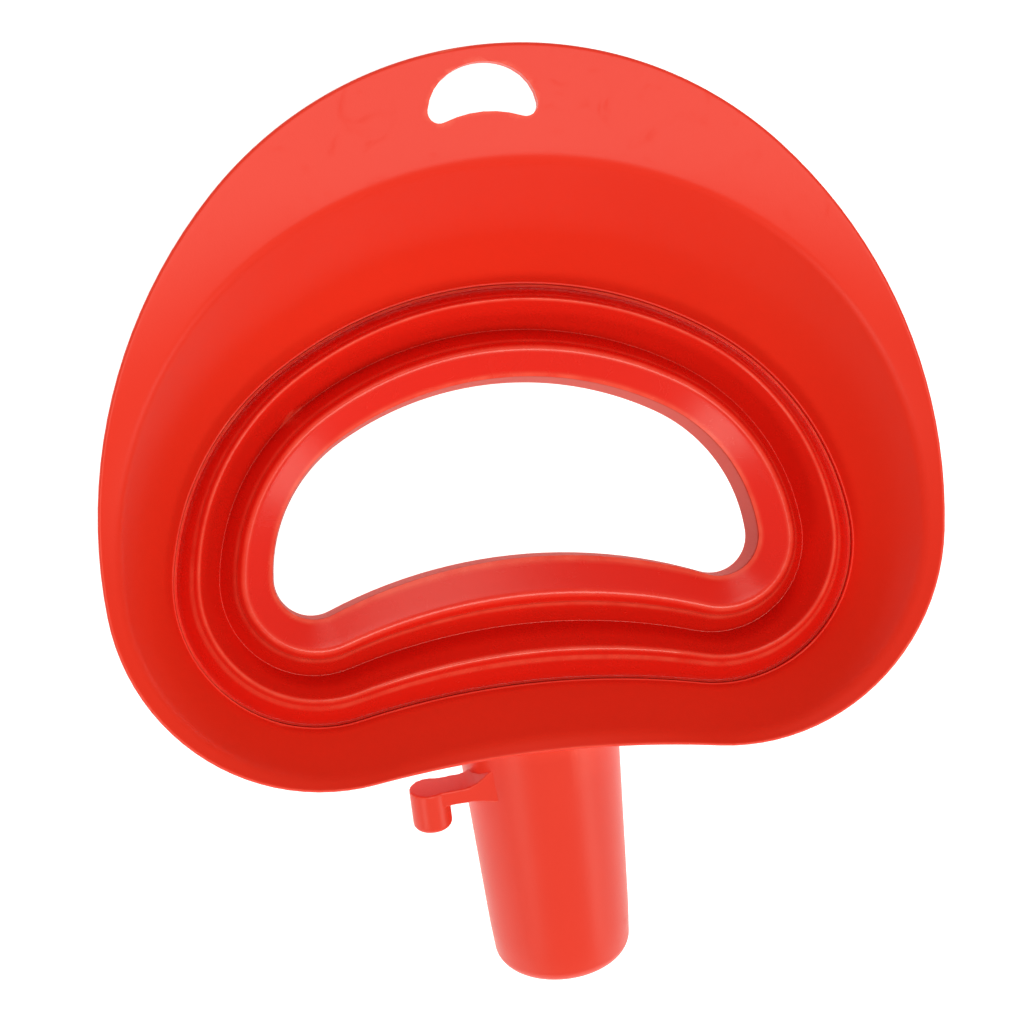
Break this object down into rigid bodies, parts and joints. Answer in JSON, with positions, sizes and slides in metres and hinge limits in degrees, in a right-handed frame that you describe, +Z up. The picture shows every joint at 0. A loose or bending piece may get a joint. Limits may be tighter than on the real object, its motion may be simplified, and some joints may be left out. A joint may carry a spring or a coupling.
{
  "type": "collapsible funnel",
  "caption": "Collapsible bean-shaped funnel with a soft bellows throat, a wide back rim with a hanging hole, a slanted hollow grip and a rim hook.",
  "frame": {"origin": "centre of the throat at the collar's lower face, with the bellows folded", "axes": "+Z up along the throat, towards the bowl's mouth; +Y to the wide back rim with the hanging hole; -Y to the grip"},
  "size_m": [0.1608, 0.1794, 0.0717],
  "materials": {
    "shell_plastic": "satin moulded polypropylene, orange-red",
    "soft_bellows": "soft satin elastomer, orange-red",
    "collar_plastic": "satin moulded polypropylene, slightly paler red"
  },
  "bodies": {
    "bowl": {"bowl": "shell_plastic", "bellows_cuff": "soft_bellows", "outer_web": "soft_bellows", "handle_grip": "shell_plastic", "rim_hook": "shell_plastic"},
    "outer_ring": {"outer_fold": "soft_bellows", "inner_web": "soft_bellows"},
    "throat": {"inner_fold": "soft_bellows", "throat_collar": "collar_plastic"}
  },
  "joints": [
    {"name": "outer_fold_slide", "type": "slide", "parent": "bowl", "child": "outer_ring", "axis": [0, 0, -1], "range_m": [0, 0.01], "deforming": ["outer_web"]},
    {"name": "inner_fold_slide", "type": "slide", "parent": "outer_ring", "child": "throat", "axis": [0, 0, -1], "range_m": [0, 0.018], "deforming": ["inner_web"]}
  ]
}
